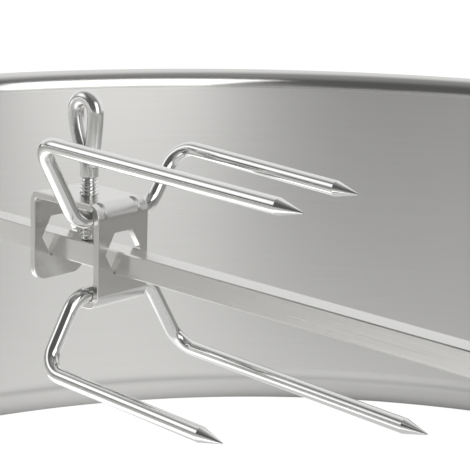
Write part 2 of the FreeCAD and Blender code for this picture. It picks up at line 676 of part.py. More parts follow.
def gear(teeth, x_from, x_to, centre_z, bore, phase):
    """Spur gear about X with involute flanks."""
    pitch_r = MODULE * teeth / 2
    base_r = pitch_r * math.cos(math.radians(20))
    tip_r = pitch_r + 0.9 * MODULE
    root_r = pitch_r - 1.2 * MODULE
    backlash = 0.10
    half_tooth = math.pi / (2 * teeth) - backlash / pitch_r
    roll_at_pitch = math.sqrt((pitch_r / base_r) ** 2 - 1)
    offset = roll_at_pitch - math.atan(roll_at_pitch)
    points = []

    def place(radius, angle):
        return (x_from, radius * math.cos(angle), centre_z + radius * math.sin(angle))

    flank = [max(root_r, base_r) + (tip_r - max(root_r, base_r)) * part for part in (0, 0.25, 0.5, 0.75, 1.0)]
    for k in range(teeth):
        middle = phase + 2 * math.pi * k / teeth
        rising, falling = [], []
        for radius in flank:
            roll = math.sqrt(max((radius / base_r) ** 2 - 1, 0))
            away = half_tooth + offset - (roll - math.atan(roll))
            rising.append(place(radius, middle - away))
            falling.append(place(radius, middle + away))
        foot = half_tooth + offset
        points.append(place(root_r, middle - foot - 0.02))
        points += rising + falling[::-1]
        points.append(place(root_r, middle + foot + 0.02))
    wheel = prism(points, (x_to - x_from, 0, 0))
    return wheel.cut(rod(bore, (x_from - 1, 0, centre_z), (x_to + 1, 0, centre_z)))


ROTOR_Z = SPIT_Z + MODULE * (GEAR_TEETH + PINION_TEETH) / 2


def output_gear():
    wheel = gear(GEAR_TEETH, GEAR_X, GEAR_X + GEAR_W, SPIT_Z, SOCKET_R, math.pi / 2)
    for k in range(WEB_HOLES):
        angle = 2 * math.pi * (k + 0.5) / WEB_HOLES
        y, z = WEB_CIRCLE_R * math.cos(angle), SPIT_Z + WEB_CIRCLE_R * math.sin(angle)
        wheel = wheel.cut(rod(WEB_HOLE_R, (GEAR_X - 1, y, z), (GEAR_X + GEAR_W + 1, y, z)))
    return wheel


def drive_socket():
    """Tube with a square hole that the spit's end slides into."""
    tube = rod(SOCKET_R, (SOCKET_X[1], 0, SPIT_Z), (SOCKET_X[0], 0, SPIT_Z))
    lead = 1.2
    tube = tube.makeChamfer(0.6, [tube.Edges[0], tube.Edges[2]])
    tube = tube.cut(square_bar(SPIT + 0.16, SOCKET_X[1] + 3, SOCKET_X[0] + 1))
    mouth = Part.makeCone(SPIT / 2 + 0.4, SPIT / 2 + 0.4 + 2 * lead, 2 * lead,
                          V(SOCKET_X[0] - 2 * lead, 0, SPIT_Z), X_AXIS)
    return tube.cut(mouth)


def socket_bush(x_from, x_to):
    bush = rod(BUSH_R, (x_from, 0, SPIT_Z), (x_to, 0, SPIT_Z))
    return bush.cut(rod(SOCKET_R + RUNNING, (x_from - 1, 0, SPIT_Z), (x_to + 1, 0, SPIT_Z)))


def motor_frame_plate():
    """Steel plate inside the case that carries the rear bush and the motor core."""
    x = CASE_X[1] - 1.0
    plate = block((x - FRAME_SHEET, -FRAME_HALF_W, FRAME_Z[0]), (x, FRAME_HALF_W, FRAME_Z[1]))
    plate = plate.cut(rod(BUSH_R, (x - 4, 0, SPIT_Z), (x + 4, 0, SPIT_Z)))
    return plate.cut(rod(4.0, (x - 4, 0, ROTOR_Z), (x + 4, 0, ROTOR_Z)))


def motor_core():
    """Laminated stator round the rotor, with its two coils."""
    x0 = CASE_X[1] - 1.0 - FRAME_SHEET - 0.05
    x1 = x0 - CORE_DEPTH
    frame = block((x1, -CORE_HALF_W, ROTOR_Z - CORE_HALF_H), (x0, CORE_HALF_W, ROTOR_Z + CORE_HALF_H))
    coils = [rod(COIL_R, (x1 + 2, y, ROTOR_Z), (x0 - 2, y, ROTOR_Z)) for y in (-COIL_Y, COIL_Y)]
    core = fuse([frame] + coils)
    return core.cut(rod(ROTOR_BORE_R, (x1 - 1, 0, ROTOR_Z), (x0 + 1, 0, ROTOR_Z)))


def rotor():
    """Rotor drum on its shaft."""
    drum = rod(ROTOR_R, (CASE_X[1] - 21.5, 0, ROTOR_Z), (CASE_X[1] - 4.0, 0, ROTOR_Z))
    shaft = rod(SHAFT_R, (CASE_X[1] - 24.0, 0, ROTOR_Z), (GEAR_X + GEAR_W + 2.0, 0, ROTOR_Z))
    return fuse([drum, shaft])


def pinion():
    phase = -math.pi / 2 + math.pi / PINION_TEETH
    return gear(PINION_TEETH, GEAR_X - 0.5, GEAR_X + GEAR_W + 0.5, ROTOR_Z, SHAFT_R, phase)


def switch_frame():
    """Bezel of the rocker switch, let into the cover."""
    outer = CASE_X[2]
    flange = block((outer - 1.4, -SWITCH_HALF_Y - 1.6, SWITCH_Z - SWITCH_HALF_Z - 1.6),
                   (outer, SWITCH_HALF_Y + 1.6, SWITCH_Z + SWITCH_HALF_Z + 1.6))
    box = block((outer - 0.5, -SWITCH_HALF_Y + 0.1, SWITCH_Z - SWITCH_HALF_Z + 0.1),
                (outer + 10.0, SWITCH_HALF_Y - 0.1, SWITCH_Z + SWITCH_HALF_Z - 0.1))
    hole = block((outer - 3.0, -SWITCH_HALF_Y + 1.3, SWITCH_Z - SWITCH_HALF_Z + 1.3),
                 (outer + 8.8, SWITCH_HALF_Y - 1.3, SWITCH_Z + SWITCH_HALF_Z - 1.3))
    pivot = switch_pivot(PIVOT_R + RUNNING, SWITCH_HALF_Y - 0.5)
    return fuse([flange, box]).cut(hole).cut(pivot)


def switch_pivot(radius, half_length):
    """Bar along the rocker's axis."""
    x = CASE_X[2] + 1.5
    return rod(radius, (x, -half_length, SWITCH_Z), (x, half_length, SWITCH_Z))


def switch_rocker():
    """Rocker with its upper half pressed in."""
    outer = CASE_X[2]
    half_y = SWITCH_HALF_Y - 1.7
    points = [(outer - 0.8, -half_y, SWITCH_Z + 8.3), (outer - 2.0, -half_y, SWITCH_Z),
              (outer - 4.4, -half_y, SWITCH_Z - 8.3), (outer + 2.0, -half_y, SWITCH_Z - 7.0),
              (outer + 5.6, -half_y, SWITCH_Z), (outer + 2.0, -half_y, SWITCH_Z + 7.0)]
    return fuse([prism(points, (0, 2 * half_y, 0)), switch_pivot(PIVOT_R, SWITCH_HALF_Y - 0.7)])


def cord_gland():
    """Cord entry in the case's floor."""
    z = CASE_Z[0]
    profile = [(GLAND_X, GLAND_Y, z + 5.0), (GLAND_X + GLAND_R - 0.1, GLAND_Y, z + 5.0),
               (GLAND_X + GLAND_R - 0.1, GLAND_Y, z), (GLAND_X + 7.2, GLAND_Y, z),
               (GLAND_X + 7.2, GLAND_Y, z - 3.0), (GLAND_X + 5.6, GLAND_Y, z - 3.4),
               (GLAND_X + 4.8, GLAND_Y, z - 10.0), (GLAND_X, GLAND_Y, z - 10.0)]
    body = turned(profile, (GLAND_X, GLAND_Y, 0), Z_AXIS)
    return body.cut(rod(CORD_R, (GLAND_X, GLAND_Y, z - 12), (GLAND_X, GLAND_Y, z + 7)))


# ---------------------------------------------------------------- nodes
def build():
    os.makedirs(OUT, exist_ok=True)
    save(ring_shell(), "ring_shell")
    save(ring_joint_plate(), "ring_joint_plate")
    save(ring_joint_rivets(), "ring_joint_rivets")
    save(handle_cradle(), "handle_cradle")
    save(fastener_group(wall_screw, CRADLE_BOLTS), "handle_cradle_screws")
    save(fastener_group(wall_nut, CRADLE_BOLTS), "handle_cradle_nuts")
    save(motor_bracket(), "motor_bracket")
    save(fastener_group(wall_screw, SADDLE_BOLTS), "motor_bracket_screws")
    save(fastener_group(wall_nut, SADDLE_BOLTS), "motor_bracket_nuts")

    save(spit_rod(), "spit_rod")
    save(spit_journal(), "spit_journal")
    save(journal_screw(), "spit_journal_screw")
    save(handle_ferrule(), "handle_ferrule")
    save(handle_grip(), "handle_grip")
    save(handle_pin(), "handle_pin")
    save(handle_cap(), "handle_cap")

    fork = {"bracket": fork_bracket(), "wire_upper": fork_wire(WIRE_UP, UPPER_TINES),
            "wire_lower": fork_wire(WIRE_DOWN, LOWER_TINES), "thumb_screw": thumb_screw()}
    for name, shape in fork.items():
        save(shape, "fork_a_" + name)
        save(to_fork_b(shape), "fork_b_" + name)

    save(motor_case_base(), "motor_case_base")
    save(motor_case_cover(), "motor_case_cover")
    save(motor_case_screws(), "motor_case_screws")
    save(motor_frame_plate(), "motor_frame_plate")
    save(motor_core(), "motor_core")
    save(socket_bush(CASE_X[0] - CASE_WALL - 3.0, CASE_X[0] + 1.2), "socket_bush_front")
    save(socket_bush(CASE_X[1] - 6.0, CASE_X[1] + 0.5), "socket_bush_rear")
    save(drive_socket(), "drive_socket")
    save(output_gear(), "output_gear")
    save(rotor(), "motor_rotor")
    save(pinion(), "motor_pinion")
    save(switch_frame(), "switch_frame")
    save(switch_rocker(), "switch_rocker")
    save(cord_gland(), "cord_gland")


build()
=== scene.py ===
"""Looks of the rotisserie ring kit: materials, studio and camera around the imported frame."""

import json
import math

import bpy
from mathutils import Matrix, Vector


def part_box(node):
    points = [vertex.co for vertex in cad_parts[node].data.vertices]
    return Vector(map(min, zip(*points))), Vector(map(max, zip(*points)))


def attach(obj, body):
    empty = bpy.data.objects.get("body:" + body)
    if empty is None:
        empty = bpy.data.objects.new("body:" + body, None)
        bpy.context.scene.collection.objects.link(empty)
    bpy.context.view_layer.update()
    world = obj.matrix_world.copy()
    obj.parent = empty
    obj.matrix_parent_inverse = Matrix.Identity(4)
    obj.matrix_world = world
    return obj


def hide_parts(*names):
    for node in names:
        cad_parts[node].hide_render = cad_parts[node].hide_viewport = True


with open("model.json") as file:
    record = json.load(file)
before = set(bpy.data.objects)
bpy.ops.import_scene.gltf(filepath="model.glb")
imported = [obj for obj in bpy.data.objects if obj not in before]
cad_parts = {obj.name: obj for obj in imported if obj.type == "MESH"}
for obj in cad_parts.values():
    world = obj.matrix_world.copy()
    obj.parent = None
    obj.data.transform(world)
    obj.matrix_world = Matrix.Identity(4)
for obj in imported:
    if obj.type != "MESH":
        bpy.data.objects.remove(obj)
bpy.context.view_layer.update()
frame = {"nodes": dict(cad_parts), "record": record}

SPIT_LOW, SPIT_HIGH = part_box("spit_rod")
SPIT_Z = (SPIT_LOW[2] + SPIT_HIGH[2]) / 2

# camera, in metres and degrees
CAMERA_FROM_AXIS = (0.2941, -0.3848, 0.1509)     # from the spit's axis over the ring's centre
CAMERA_YAW, CAMERA_PITCH, CAMERA_ROLL = 131.77, 14.39, 1.925
CAMERA_CLIP = 0.01
SENSOR_MM = 36.0
LENS_MM = 130.2

# floor as the camera sees it: a grey that the light falls on, and a glow of its own
FLOOR_SIZE = 14.0
FLOOR_DIFFUSE, FLOOR_GLOW, FLOOR_ROUGH = 0.25, 0.92, 0.9

# floor as the metal reflects it: strengths, azimuths, and the distances over which each fades
FLOOR_LIT_DEG, FLOOR_DARK, FLOOR_LIT, FLOOR_SPREAD = 165.0, 0.72, 1.08, (0.12, 0.20)
FLOOR_NEAR_DEG, FLOOR_NEAR, FLOOR_NEAR_SPREAD = 235.0, 0.95, (0.08, 0.15)
FLOOR_SHADE, FLOOR_SHADE_IN, FLOOR_SHADE_OUT = 0.30, (0.272, 0.280), (0.290, 0.30)     # by the wall's foot

# room as the metal reflects it: strengths, azimuths, and the cosines over which each fades in
ROOM = 0.12
OVERHEAD, OVERHEAD_SPREAD = 0.34, (0.78, 1.0)
BACKDROP_DEG, BACKDROP, BACKDROP_SPREAD = 118.0, 0.95, (-0.10, 0.50)
SIDE_BOX_DEG, SIDE_BOX, SIDE_BOX_SPREAD = -14.0, 0.36, (0.76, 0.93)
SOFTBOX_DEG, SOFTBOX_UP, SOFTBOX, SOFTBOX_SPREAD = 219.0, 28.0, 1.4, (0.92, 0.985)

# lamp
LAMP_AT, LAMP_AIM = (1.75, -0.33, 1.05), (0, 0, 0.1)
LAMP_WIDE, LAMP_LONG, LAMP_WATTS = 1.3, 1.9, 15.5

# ring, the band's middle line in metres and degrees
WALL_R, SHEET, RING_TALL, SKIRT = 0.2806, 0.0012, 0.1560, 0.0072
JOGGLE_LOW_R, JOGGLE_HIGH_R, JOGGLE_DEG = 0.0065, 0.010, 30.0
ROLL_R, ROLL_DEG = 0.0064, 240.0
ROLL_TOP = RING_TALL - ROLL_R - SHEET / 2        # the wall's top, where the roll starts
NOTCH_HALF = 0.0085
NOTCH_IN, NOTCH_OUT, NOTCH_OVER = 0.012, 0.020, 0.01     # how far its cutter passes the wall and the rim
NOTCH_STEPS = 24
RING_STEPS = 480
BEND_STEP_DEG, BEND_LEAST_STEPS = 6, 8
RING_SHARP_DEG = 35
RING_CLEAR = 0.00001                             # how far the band stays inside the CAD's

# fork bracket's pinched hems, where a pale highlight is painted: distance from the spit's axis across it,
# half width, and height over it
CRIMP_Y, CRIMP_HALF, CRIMP_UP = 0.0076, 0.0014, 0.0125
CRIMP_FADE, CRIMP_RISE, CRIMP_TILT = 1.3, 0.001, (0.10, 0.25)     # its fade, and the tilts that have it
# the painted highlight on the crimps: its roughness and its pale colour
CRIMP_ROUGH, CRIMP_HIGHLIGHT_COLOUR = 0.75, (0.95, 0.95, 0.94, 1)

# thumb screws
EYE_ROD, THREAD_CREST, THREAD_ROOT, THREAD_PITCH = 0.00275, 0.0031, 0.00245, 0.00127
THREAD_LOW, THREAD_HIGH, SHANK_HIGH, EYE_FOOT = 0.0001, 0.0213, 0.0289, 0.0253     # heights over the tip
EYE_NEAR, EYE_FAR = 0.0027, 0.0068               # widest places of the eye on each side of the stem
EYE_APART, EYE_SWELL, EYE_STEPS = 0.0004, 1.15, 40
THREAD_FLANK, THREAD_START = 2.27, 0.1           # a flank's climb per pitch, and the depth at the tip
SHANK_NECK_R, SHANK_END_R = 0.0028, 0.002
STEPS_PER_TURN = 24
ROUND = 48


# ---------------------------------------------------------------- node helpers
def new_material(name):
    material = bpy.data.materials.new(name)
    material.use_nodes = True
    nodes, links = material.node_tree.nodes, material.node_tree.links
    return material, nodes, links, nodes["Principled BSDF"]


def math_node(nodes, links, operation, first, second=None):
    node = nodes.new("ShaderNodeMath")
    node.operation = operation
    for socket, value in zip(node.inputs, (first, second)):
        if value is None:
            continue
        if isinstance(value, (int, float)):
            socket.default_value = value
        else:
            links.new(value, socket)
    return node.outputs[0]


def position(nodes, links):
    """Object coordinates, split."""
    coordinates = nodes.new("ShaderNodeTexCoord")
    split = nodes.new("ShaderNodeSeparateXYZ")
    links.new(coordinates.outputs["Object"], split.inputs[0])
    return coordinates.outputs["Object"], split.outputs


def combined(nodes, links, x, y, z):
    join = nodes.new("ShaderNodeCombineXYZ")
    for socket, value in zip(join.inputs, (x, y, z)):
        if isinstance(value, (int, float)):
            socket.default_value = value
        else:
            links.new(value, socket)
    return join.outputs[0]


def noise(nodes, links, vector, scale, detail=2.0, rough=0.5):
    node = nodes.new("ShaderNodeTexNoise")
    node.inputs["Scale"].default_value = scale
    node.inputs["Detail"].default_value = detail
    node.inputs["Roughness"].default_value = rough
    links.new(vector, node.inputs["Vector"])
    return node.outputs["Fac"]


def ramp(nodes, links, value, low, high, from_min=0.3, from_max=0.7):
    node = nodes.new("ShaderNodeMapRange")
    node.inputs["From Min"].default_value = from_min
    node.inputs["From Max"].default_value = from_max
    node.inputs["To Min"].default_value = low
    node.inputs["To Max"].default_value = high
    links.new(value, node.inputs["Value"])
    return node.outputs["Result"]


def tint(nodes, links, value, dark, light):
    node = nodes.new("ShaderNodeMix")
    node.data_type = "RGBA"
    node.inputs["A"].default_value = (*dark, 1)
    node.inputs["B"].default_value = (*light, 1)
    links.new(value, node.inputs["Factor"])
    return node.outputs["Result"]


def bump(nodes, links, height, distance, strength=1.0):
    node = nodes.new("ShaderNodeBump")
    node.inputs["Distance"].default_value = distance
    node.inputs["Strength"].default_value = strength
    links.new(height, node.inputs["Height"])
    return node.outputs["Normal"]


# ---------------------------------------------------------------- metals
FINE_SHARE, COARSE_SHARE = 0.7, 0.3
GRAIN_DARKER, POLISH_KEEPS = 0.93, 0.4
GRAIN_DETAIL, GRAIN_ROUGH, SATIN_ROUGH = 3.0, 0.6, 0.55

# fine and coarse noise scales
BAND_GRAIN = ((9.0, 0.0, 2600.0), (2.5, 3.0, 420.0))     # round the axis, an offset, and up
SPIT_GRAIN = ((26.0, 3000.0, 3000.0), (9.0, 700.0, 700.0))
SATIN_GRAIN = ((1500.0, 260.0, 1500.0), (160.0, 160.0, 160.0))
POLISH_GRAIN = (900.0, 90.0)


def grained_metal(name, base, rough, grain, spread=0.06, bump_m=0.000004, brushed=None, polished=None):
    """Metal with a grain, rough give or take spread; bump_m is the grain's depth.

    brushed is the anisotropy, its axis and its turn; polished is where extra polish starts and is full.
    """
    material, nodes, links, shader = new_material(name)
    shader.inputs["Metallic"].default_value = 1.0
    fine, coarse = grain(nodes, links)
    streak = math_node(nodes, links, "MULTIPLY_ADD", fine, FINE_SHARE)
    links.new(math_node(nodes, links, "MULTIPLY", coarse, COARSE_SHARE), streak.node.inputs[2])
    darker = tuple(c * GRAIN_DARKER for c in base)
    links.new(tint(nodes, links, ramp(nodes, links, streak, 0, 1), darker, base), shader.inputs["Base Color"])
    links.new(ramp(nodes, links, streak, rough - spread, rough + spread), shader.inputs["Roughness"])
    links.new(bump(nodes, links, streak, bump_m), shader.inputs["Normal"])
    if polished:
        _, (_, _, height) = position(nodes, links)
        keep = ramp(nodes, links, height, 1.0, POLISH_KEEPS, *polished)
        rough_link = shader.inputs["Roughness"].links[0].from_socket
        links.new(math_node(nodes, links, "MULTIPLY", rough_link, keep), shader.inputs["Roughness"])
    if brushed:
        anisotropy, axis, turn = brushed
        shader.inputs["Anisotropic"].default_value = anisotropy
        shader.inputs["Anisotropic Rotation"].default_value = turn
        direction = nodes.new("ShaderNodeTangent")
        direction.direction_type = "RADIAL"
        direction.axis = axis
        links.new(direction.outputs[0], shader.inputs["Tangent"])
    return material


def grain_round_z(nodes, links):
    """Long streaks round the ring's axis."""
    _, (x, y, z) = position(nodes, links)
    angle = math_node(nodes, links, "ARCTAN2", y, x)
    fine, coarse = (combined(nodes, links, math_node(nodes, links, "MULTIPLY", angle, along), offset,
                             math_node(nodes, links, "MULTIPLY", z, across))
                    for along, offset, across in BAND_GRAIN)
    return noise(nodes, links, fine, 1.0, GRAIN_DETAIL, GRAIN_ROUGH), noise(nodes, links, coarse, 1.0)


def scaled_noises(nodes, links, scales, rough):
    """A noise for each set of scales along x, y and z."""
    vector, _ = position(nodes, links)
    results = []
    for scale in scales:
        mapping = nodes.new("ShaderNodeMapping")
        mapping.inputs["Scale"].default_value = scale
        links.new(vector, mapping.inputs["Vector"])
        results.append(noise(nodes, links, mapping.outputs[0], 1.0, GRAIN_DETAIL, rough))
    return results


def grain_along_x(nodes, links):
    """Long streaks along the spit."""
    return scaled_noises(nodes, links, SPIT_GRAIN, GRAIN_ROUGH)


def grain_satin(nodes, links):
    """Fine satin, a little drawn out across the spit."""
    return scaled_noises(nodes, links, SATIN_GRAIN, SATIN_ROUGH)


def grain_polish(nodes, links):
    vector, _ = position(nodes, links)
    fine, coarse = POLISH_GRAIN
    return noise(nodes, links, vector, fine, GRAIN_DETAIL, GRAIN_ROUGH), noise(nodes, links, vector, coarse)


STEEL, BRIGHT_STEEL, ZINC_STEEL = (0.70, 0.695, 0.68), (0.78, 0.78, 0.77), (0.62, 0.62, 0.61)
CORE_STEEL, GEAR_STEEL, BRASS = (0.3, 0.3, 0.31), (0.55, 0.55, 0.55), (0.70, 0.52, 0.26)
ROUND_THE_RING, ALONG_THE_SPIT = (0.85, "Z", 0.25), (0.6, "X", 0.0)
ROLL_POLISH = (ROLL_TOP - 0.0015, ROLL_TOP + 0.0005)
THREAD_POLISH = (SPIT_Z + 0.0262, SPIT_Z + 0.0254)
METALS = {
    "brushed_band": (STEEL, 0.42, grain_round_z, 0.03, 0.000002, ROUND_THE_RING, ROLL_POLISH),
    "spit_steel": (STEEL, 0.21, grain_along_x, 0.09, 0.000009, ALONG_THE_SPIT),
    "fork_sheet": (STEEL, 0.24, grain_satin, 0.015, 0.00000015),
    "fork_wire": (BRIGHT_STEEL, 0.10, grain_polish, 0.02, 0.0000003),
    "screw_steel": (BRIGHT_STEEL, 0.22, grain_polish, 0.03, 0.0000005, None, THREAD_POLISH),
    "plate_steel": (STEEL, 0.32, grain_satin, 0.05),
    "fastener_steel": (ZINC_STEEL, 0.25, grain_polish, 0.06),
    "turned_steel": (STEEL, 0.22, grain_satin, 0.05),
    "core_steel": (CORE_STEEL, 0.5, grain_satin, 0.08),
    "bush_brass": (BRASS, 0.35, grain_polish, 0.08),
    "gear_steel": (GEAR_STEEL, 0.3, grain_polish, 0.06),
}


CLOUD_SCALE, CLOUD_ROUGH = 0.05, 0.06
CLOUD_LIGHTER, CLOUD_LIFT = 1.5, 0.004


def moulded_plastic(name, base, rough, grain_scale, depth):
    """Black plastic with a pebbled skin of that scale and depth."""
    material, nodes, links, shader = new_material(name)
    vector, _ = position(nodes, links)
    pebble = nodes.new("ShaderNodeTexVoronoi")
    pebble.inputs["Scale"].default_value = grain_scale
    links.new(vector, pebble.inputs["Vector"])
    cloud = noise(nodes, links, vector, grain_scale * CLOUD_SCALE, GRAIN_DETAIL)
    lighter = tuple(c * CLOUD_LIGHTER + CLOUD_LIFT for c in base)
    links.new(tint(nodes, links, ramp(nodes, links, cloud, 0, 1), base, lighter), shader.inputs["Base Color"])
    links.new(ramp(nodes, links, cloud, rough - CLOUD_ROUGH, rough + CLOUD_ROUGH), shader.inputs["Roughness"])
    links.new(bump(nodes, links, pebble.outputs["Distance"], depth), shader.inputs["Normal"])
    return material


PLASTICS = {
    "case_plastic": ((0.018, 0.018, 0.02), 0.5, 1400.0, 0.00008),
    "grip_black": ((0.014, 0.013, 0.013), 0.42, 1800.0, 0.00005),
    "switch_plastic": ((0.012, 0.012, 0.012), 0.3, 2600.0, 0.00002),
}


def finish_for(slot):
    if slot in METALS:
        return grained_metal(slot, *METALS[slot])
    return moulded_plastic(slot, *PLASTICS[slot])


def paint_crimp_highlights(material):
    """Where the upper hem is pinched on the wire a highlight is painted: a pale colour and a matt roughness.
    """
    nodes, links = material.node_tree.nodes, material.node_tree.links
    shader = nodes["Principled BSDF"]
    _, (_, y, z) = position(nodes, links)
    geometry = nodes.new("ShaderNodeNewGeometry")
    split = nodes.new("ShaderNodeSeparateXYZ")
    links.new(geometry.outputs["Normal"], split.inputs[0])
    off_crimp = math_node(nodes, links, "ABSOLUTE", math_node(
        nodes, links, "SUBTRACT", math_node(nodes, links, "ABSOLUTE", y), CRIMP_Y))
    near = ramp(nodes, links, off_crimp, 1.0, 0.0, CRIMP_HALF, CRIMP_HALF * CRIMP_FADE)
    above = ramp(nodes, links, z, 0.0, 1.0, SPIT_Z + CRIMP_UP, SPIT_Z + CRIMP_UP + CRIMP_RISE)
    tilted = ramp(nodes, links, math_node(nodes, links, "ABSOLUTE", split.outputs[1]), 0.0, 1.0, *CRIMP_TILT)
    mask = math_node(nodes, links, "MULTIPLY", math_node(nodes, links, "MULTIPLY", near, above), tilted)
    # mix in the painted highlight's matt roughness and pale colour where the mask is
    for socket, data_type, kind, pale in (("Roughness", "FLOAT", "Float", CRIMP_ROUGH),
                                          ("Base Color", "RGBA", "Color", CRIMP_HIGHLIGHT_COLOUR)):
        mix = nodes.new("ShaderNodeMix")
        mix.data_type = data_type
        inputs = {entry.identifier: entry for entry in mix.inputs}
        outputs = {entry.identifier: entry for entry in mix.outputs}
        links.new(mask, inputs["Factor_Float"])
        links.new(shader.inputs[socket].links[0].from_socket, inputs["A_" + kind])
        inputs["B_" + kind].default_value = pale
        links.new(outputs["Result_" + kind], shader.inputs[socket])


def dress_nodes():
    """One material per record slot, put on every CAD node of that slot."""
    made = {}
    for part in frame["record"]["subparts"]:
        slot = part["material_slot"]
        if slot not in made:
            made[slot] = finish_for(slot)
        node = frame["nodes"][part["node"]]
        if not node.material_slots:
            node.data.materials.append(made[slot])
        for material_slot in node.material_slots:
            material_slot.material = made[slot]
    return made


# ---------------------------------------------------------------- ring
def bent_line(start, heading, steps, offset):
    """Points (radius, height) of one face of a bent sheet.

    A step is a straight's (length,) or a bend's (radius, degrees); a positive bend turns left.
    """
    r, z = start
    angle = math.radians(heading)
    points = []

    def put():
        points.append((r - math.sin(angle) * offset, z + math.cos(angle) * offset))

    put()
    for step in steps:
        if len(step) == 1:
            r, z = r + step[0] * math.cos(angle), z + step[0] * math.sin(angle)
            put()
            continue
        radius, degrees = step
        turn = math.radians(degrees)
        side = math.copysign(1, turn)
        centre = (r - side * radius * math.sin(angle), z + side * radius * math.cos(angle))
        parts = max(BEND_LEAST_STEPS, round(abs(degrees) / BEND_STEP_DEG))
        begin = angle
        for i in range(1, parts + 1):
            angle = begin + turn * i / parts
            r = centre[0] + side * radius * math.sin(angle)
            z = centre[1] - side * radius * math.cos(angle)
            put()
    return points


def solid_from(name, vertices, faces):
    mesh = bpy.data.meshes.new(name)
    mesh.from_pydata([tuple(v) for v in vertices], [], faces)
    mesh.update()
    piece = bpy.data.objects.new(name, mesh)
    bpy.context.collection.objects.link(piece)
    return piece


def notch_cutter(side, top):
    """Round-bottomed slot across the wall at one end of the spit's axis."""
    outline = [(-NOTCH_HALF, top), (NOTCH_HALF, top)]
    outline += [(NOTCH_HALF * math.cos(a), SPIT_Z + NOTCH_HALF * math.sin(a))
                for a in (-math.pi * i / NOTCH_STEPS for i in range(NOTCH_STEPS + 1))]
    near, far = side * (WALL_R - NOTCH_IN), side * (WALL_R + NOTCH_OUT)
    vertices = [(x, y, z) for x in (near, far) for y, z in outline]
    count = len(outline)
    faces = [tuple(range(count)), tuple(range(2 * count - 1, count - 1, -1))]
    faces += [(k, k + count, (k + 1) % count + count, (k + 1) % count) for k in range(count)]
    if side > 0:
        faces = [face[::-1] for face in faces]
    return vertices, faces


def ring_look(material):
    """The rolled band as a finely divided surface of revolution.

    Known fault: the cut below leaves both notches closed, so the spit and its journal pass through the sheet.
    """
    bend = math.radians(JOGGLE_DEG)
    offset = (JOGGLE_LOW_R + JOGGLE_HIGH_R) * (1 - math.cos(bend))
    wall = ROLL_TOP - SKIRT - (JOGGLE_LOW_R + JOGGLE_HIGH_R) * math.sin(bend)
    steps = [(SKIRT,), (JOGGLE_LOW_R, JOGGLE_DEG), (JOGGLE_HIGH_R, -JOGGLE_DEG), (wall,), (ROLL_R, -ROLL_DEG)]
    inside = bent_line((WALL_R + offset, 0.0), 90.0, steps, SHEET / 2)
    outside = bent_line((WALL_R + offset, 0.0), 90.0, steps, -SHEET / 2)
    profile = inside + outside[::-1]
    _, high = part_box("ring_shell")
    shrink = min(1.0, (high[1] - RING_CLEAR) / max(r for r, _ in profile))
    vertices = []
    for k in range(RING_STEPS):
        a = 2 * math.pi * (k + 0.5) / RING_STEPS
        vertices += [(r * shrink * math.cos(a), r * shrink * math.sin(a), max(z, 0.0)) for r, z in profile]
    count = len(profile)
    faces = []
    for k in range(RING_STEPS):
        here, there = k * count, (k + 1) % RING_STEPS * count
        for i in range(count):
            after = (i + 1) % count
            faces.append((here + i, there + i, there + after, here + after))
    band = solid_from("ring_band", vertices, faces)
    cutter_vertices, cutter_faces = [], []
    for side in (-1, 1):
        more, sides = notch_cutter(side, RING_TALL + NOTCH_OVER)
        cutter_faces += [tuple(i + len(cutter_vertices) for i in face) for face in sides]
        cutter_vertices += more
    cutter = solid_from("notch_cutter", cutter_vertices, cutter_faces)
    cut = band.modifiers.new("notches", "BOOLEAN")
    cut.operation, cut.solver, cut.object = "DIFFERENCE", "EXACT", cutter
    mesh = bpy.data.meshes.new_from_object(band.evaluated_get(bpy.context.evaluated_depsgraph_get()))
    band.modifiers.clear()
    band.data = mesh
    bpy.data.objects.remove(cutter)
    mesh.shade_smooth()
    mesh.set_sharp_from_angle(angle=math.radians(RING_SHARP_DEG))
    mesh.materials.clear()
    mesh.materials.append(material)
    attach(band, "ring")
    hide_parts("ring_shell")


# ---------------------------------------------------------------- thumb screws
def skin(rings):
    """Vertices and faces of a tube with flat ends through rings of equal count."""
    vertices = [point for ring in rings for point in ring]
    count = len(rings[0])
    faces = []
    for i in range(len(rings) - 1):
        for k in range(count):
            a, b = i * count + k, i * count + (k + 1) % count
            faces.append((a, b, b + count, a + count))
    faces.append(tuple(range(count))[::-1])
    faces.append(tuple(range(len(vertices) - count, len(vertices))))
    return vertices, faces


def tube_along(points, radius, side):
    """Rings square to a flat path; side is the plane's normal."""
    rings = []
    for i, point in enumerate(points):
        ahead = (points[min(i + 1, len(points) - 1)] - points[max(i - 1, 0)]).normalized()
        across = ahead.cross(side).normalized()
        rings.append([point + across * (radius * math.cos(a)) + side * (radius * math.sin(a))
                      for a in (2 * math.pi * k / ROUND for k in range(ROUND))])
    return rings


def helical_stem(axis_x, low, thread_top, shank_top):
    """Threaded rod with a true helix that runs out under the plain shank."""
    rings = []
    z = low
    rise = THREAD_PITCH / STEPS_PER_TURN
    while z < thread_top:
        fade = min(1.0, (thread_top - z) / THREAD_PITCH, (z - low) / THREAD_PITCH + THREAD_START)
        ring = []
        for k in range(ROUND):
            turn = 2 * math.pi * k / ROUND
            phase = (z / THREAD_PITCH - k / ROUND) % 1.0
            crest = min(1.0, THREAD_FLANK * (0.5 - abs(phase - 0.5)))
            radius = THREAD_ROOT + (THREAD_CREST - THREAD_ROOT) * crest * fade
            ring.append(Vector((axis_x + radius * math.cos(turn), radius * math.sin(turn), z)))
        rings.append(ring)
        z += rise
    shank = ((thread_top + 0.0001, THREAD_ROOT + 0.0001), (thread_top + 0.0005, THREAD_CREST - 0.00004),
             (thread_top + 0.0008, THREAD_CREST), (shank_top - 0.0012, THREAD_CREST),
             (shank_top - 0.0003, SHANK_NECK_R), (shank_top, SHANK_END_R))
    for height, radius in shank:
        rings.append([Vector((axis_x + radius * math.cos(a), radius * math.sin(a), height))
                      for a in (2 * math.pi * k / ROUND for k in range(ROUND))])
    return rings


